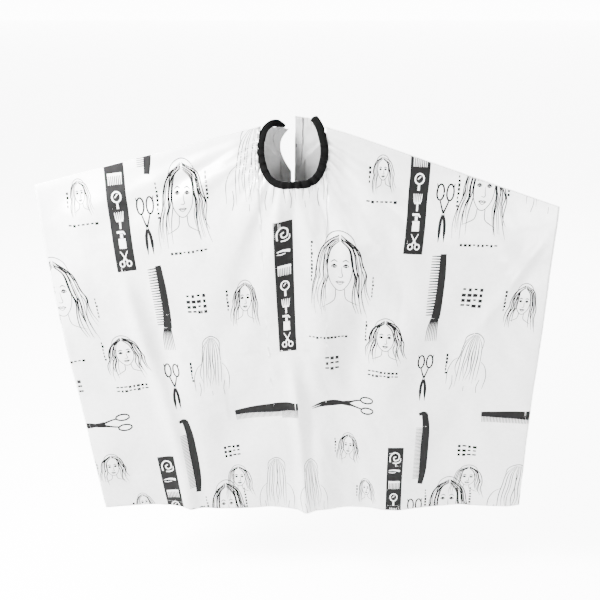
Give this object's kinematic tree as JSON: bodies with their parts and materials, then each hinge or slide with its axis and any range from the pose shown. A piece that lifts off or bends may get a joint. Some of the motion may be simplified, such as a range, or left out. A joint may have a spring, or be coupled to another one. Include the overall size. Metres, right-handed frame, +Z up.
{
  "type": "barber cape",
  "caption": "Printed cloth cape with a padded neckband and an open centre back, folded over both shoulders, worn over clothes during a haircut.",
  "frame": {"origin": "in the neck opening, midway between the two points where the collar crosses the shoulder lines", "axes": "+X towards the viewer's right along the shoulders, +Y to the back, +Z up"},
  "size_m": [1.2572, 0.1685, 1.0442],
  "materials": {
    "printed_cloth": "satin polyester with a dark grey print",
    "hem_cloth": "folded satin polyester",
    "facing_cloth": "inside of the cloth, turned and stitched",
    "band_knit": "black ribbed knit",
    "elastic": "woven elastic",
    "closing_tape": "hook and loop pile",
    "black_thread": "dense sewing thread",
    "label": "blank satin ribbon"
  },
  "bodies": {
    "front": {"front_panel": "printed_cloth", "front_bottom_hem": "hem_cloth", "front_left_hem": "hem_cloth", "front_right_hem": "hem_cloth", "neckband_front": "band_knit", "neck_elastic_front": "elastic"},
    "back_left": {"back_left_panel": "printed_cloth", "back_left_bottom_hem": "hem_cloth", "back_left_side_hem": "hem_cloth", "back_left_placket": "facing_cloth"},
    "back_right": {"back_right_panel": "printed_cloth", "back_right_bottom_hem": "hem_cloth", "back_right_side_hem": "hem_cloth", "back_right_placket": "facing_cloth", "care_label": "label"},
    "left_flap": {"left_collar_flap": "printed_cloth", "left_collar_facing": "facing_cloth", "neckband_left_end": "band_knit", "neck_elastic_left": "elastic", "hook_tape": "closing_tape"},
    "right_flap": {"right_collar_flap": "printed_cloth", "right_collar_facing": "facing_cloth", "neckband_right_end": "band_knit", "neck_elastic_right": "elastic", "loop_tape": "closing_tape", "tape_bartack": "black_thread"}
  },
  "joints": [
    {"name": "back_left_lift", "type": "hinge", "parent": "front", "child": "back_left", "pos_m": [-0.081, 0, 0], "axis": [0.9673, 0, 0.2536], "range_deg": [0, 110]},
    {"name": "back_right_lift", "type": "hinge", "parent": "front", "child": "back_right", "pos_m": [0.081, 0, 0], "axis": [0.9446, 0, -0.3283], "range_deg": [0, 110]},
    {"name": "left_flap_roll", "type": "hinge", "parent": "back_left", "child": "left_flap", "pos_m": [-0.08162, 0.01114, -0.026], "axis": [-0.5989, -0.3267, 0.7311], "range_deg": [0, 115]},
    {"name": "right_flap_roll", "type": "hinge", "parent": "back_right", "child": "right_flap", "pos_m": [0.08162, 0.01114, -0.026], "axis": [-0.5989, 0.3267, -0.7311], "range_deg": [0, 115]}
  ]
}
